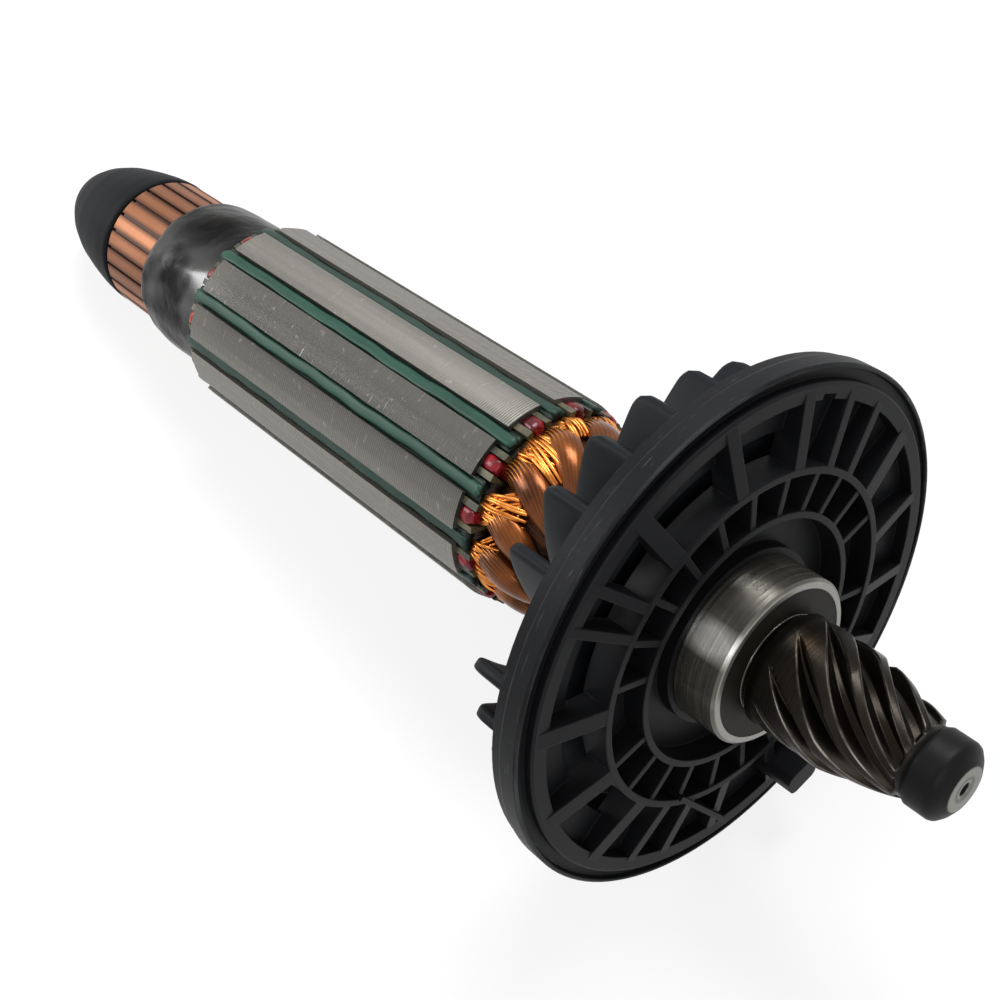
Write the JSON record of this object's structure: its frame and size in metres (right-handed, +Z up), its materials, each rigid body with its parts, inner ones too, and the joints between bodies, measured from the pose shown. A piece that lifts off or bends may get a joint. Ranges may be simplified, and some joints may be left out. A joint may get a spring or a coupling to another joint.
{
  "type": "motor armature",
  "caption": "Wound motor armature with a spiral pinion, ball bearings, a ribbed air guide plate, a bladed fan, a slotted core and a commutator, lying on its rim and rear cap.",
  "frame": {"origin": "centre of the bounding box on the surface that the armature lies on", "axes": "+X towards the pinion, shaft in the XZ plane and raised at the pinion end, +Z up"},
  "size_m": [0.334, 0.1266, 0.1252],
  "materials": {
    "steel": "ground, oiled",
    "bearing_steel": "ground",
    "cage_steel": "pressed",
    "lamination_steel": "turned, light brown tarnish",
    "insulation_board": "matt",
    "liner_paper": "matt",
    "wedge_green": "glossy resin",
    "insulator_red": "glossy",
    "copper_wire": "varnished",
    "black_varnish": "glossy varnish",
    "commutator_copper": "turned, worn",
    "moulding_brown": "matt",
    "fan_plastic": "satin",
    "black_plastic": "satin",
    "seal_rubber": "matt",
    "cap_rubber": "satin"
  },
  "bodies": {
    "rotor": {"shaft": "steel", "shaft_sleeve": "insulation_board", "lamination_stack": "lamination_steel", "slot_liners": "liner_paper", "slot_wedges": "wedge_green", "front_insulator": "insulator_red", "rear_insulator": "insulator_red", "windings": "copper_wire", "rear_bandage": "black_varnish", "commutator_bars": "commutator_copper", "commutator_moulding": "moulding_brown", "fan": "fan_plastic", "front_bearing_inner_ring": "bearing_steel", "rear_bearing_inner_ring": "bearing_steel"},
    "front_carrier": {"front_bearing_outer_ring": "bearing_steel", "front_bearing_front_seal": "seal_rubber", "front_bearing_rear_seal": "seal_rubber", "air_guide_plate": "black_plastic"},
    "front_ball_set": {"front_bearing_balls": "bearing_steel", "front_bearing_cage": "cage_steel"},
    "rear_carrier": {"rear_bearing_outer_ring": "bearing_steel", "rear_bearing_front_seal": "seal_rubber", "rear_bearing_rear_seal": "seal_rubber", "rear_cap": "cap_rubber"},
    "rear_ball_set": {"rear_bearing_balls": "bearing_steel", "rear_bearing_cage": "cage_steel"}
  },
  "joints": [
    {"name": "front_bearing_turn", "type": "hinge", "parent": "front_carrier", "child": "rotor", "pos_m": [0.11436, -0.0007, 0.0653], "axis": [0.9833, 0, 0.1822], "continuous": true},
    {"name": "front_ball_turn", "type": "hinge", "parent": "front_carrier", "child": "front_ball_set", "pos_m": [0.11436, -0.0007, 0.0653], "axis": [0.9833, 0, 0.1822], "continuous": true},
    {"name": "rear_bearing_turn", "type": "hinge", "parent": "rotor", "child": "rear_carrier", "pos_m": [-0.14227, -0.0007, 0.01773], "axis": [0.9833, 0, 0.1822], "continuous": true},
    {"name": "rear_ball_turn", "type": "hinge", "parent": "rotor", "child": "rear_ball_set", "pos_m": [-0.14227, -0.0007, 0.01773], "axis": [0.9833, 0, 0.1822], "continuous": true}
  ],
  "couplings": [
    {"joint": "front_ball_turn", "follows": "front_bearing_turn", "ratio": 0.38246},
    {"joint": "rear_ball_turn", "follows": "rear_bearing_turn", "ratio": 0.6175}
  ]
}
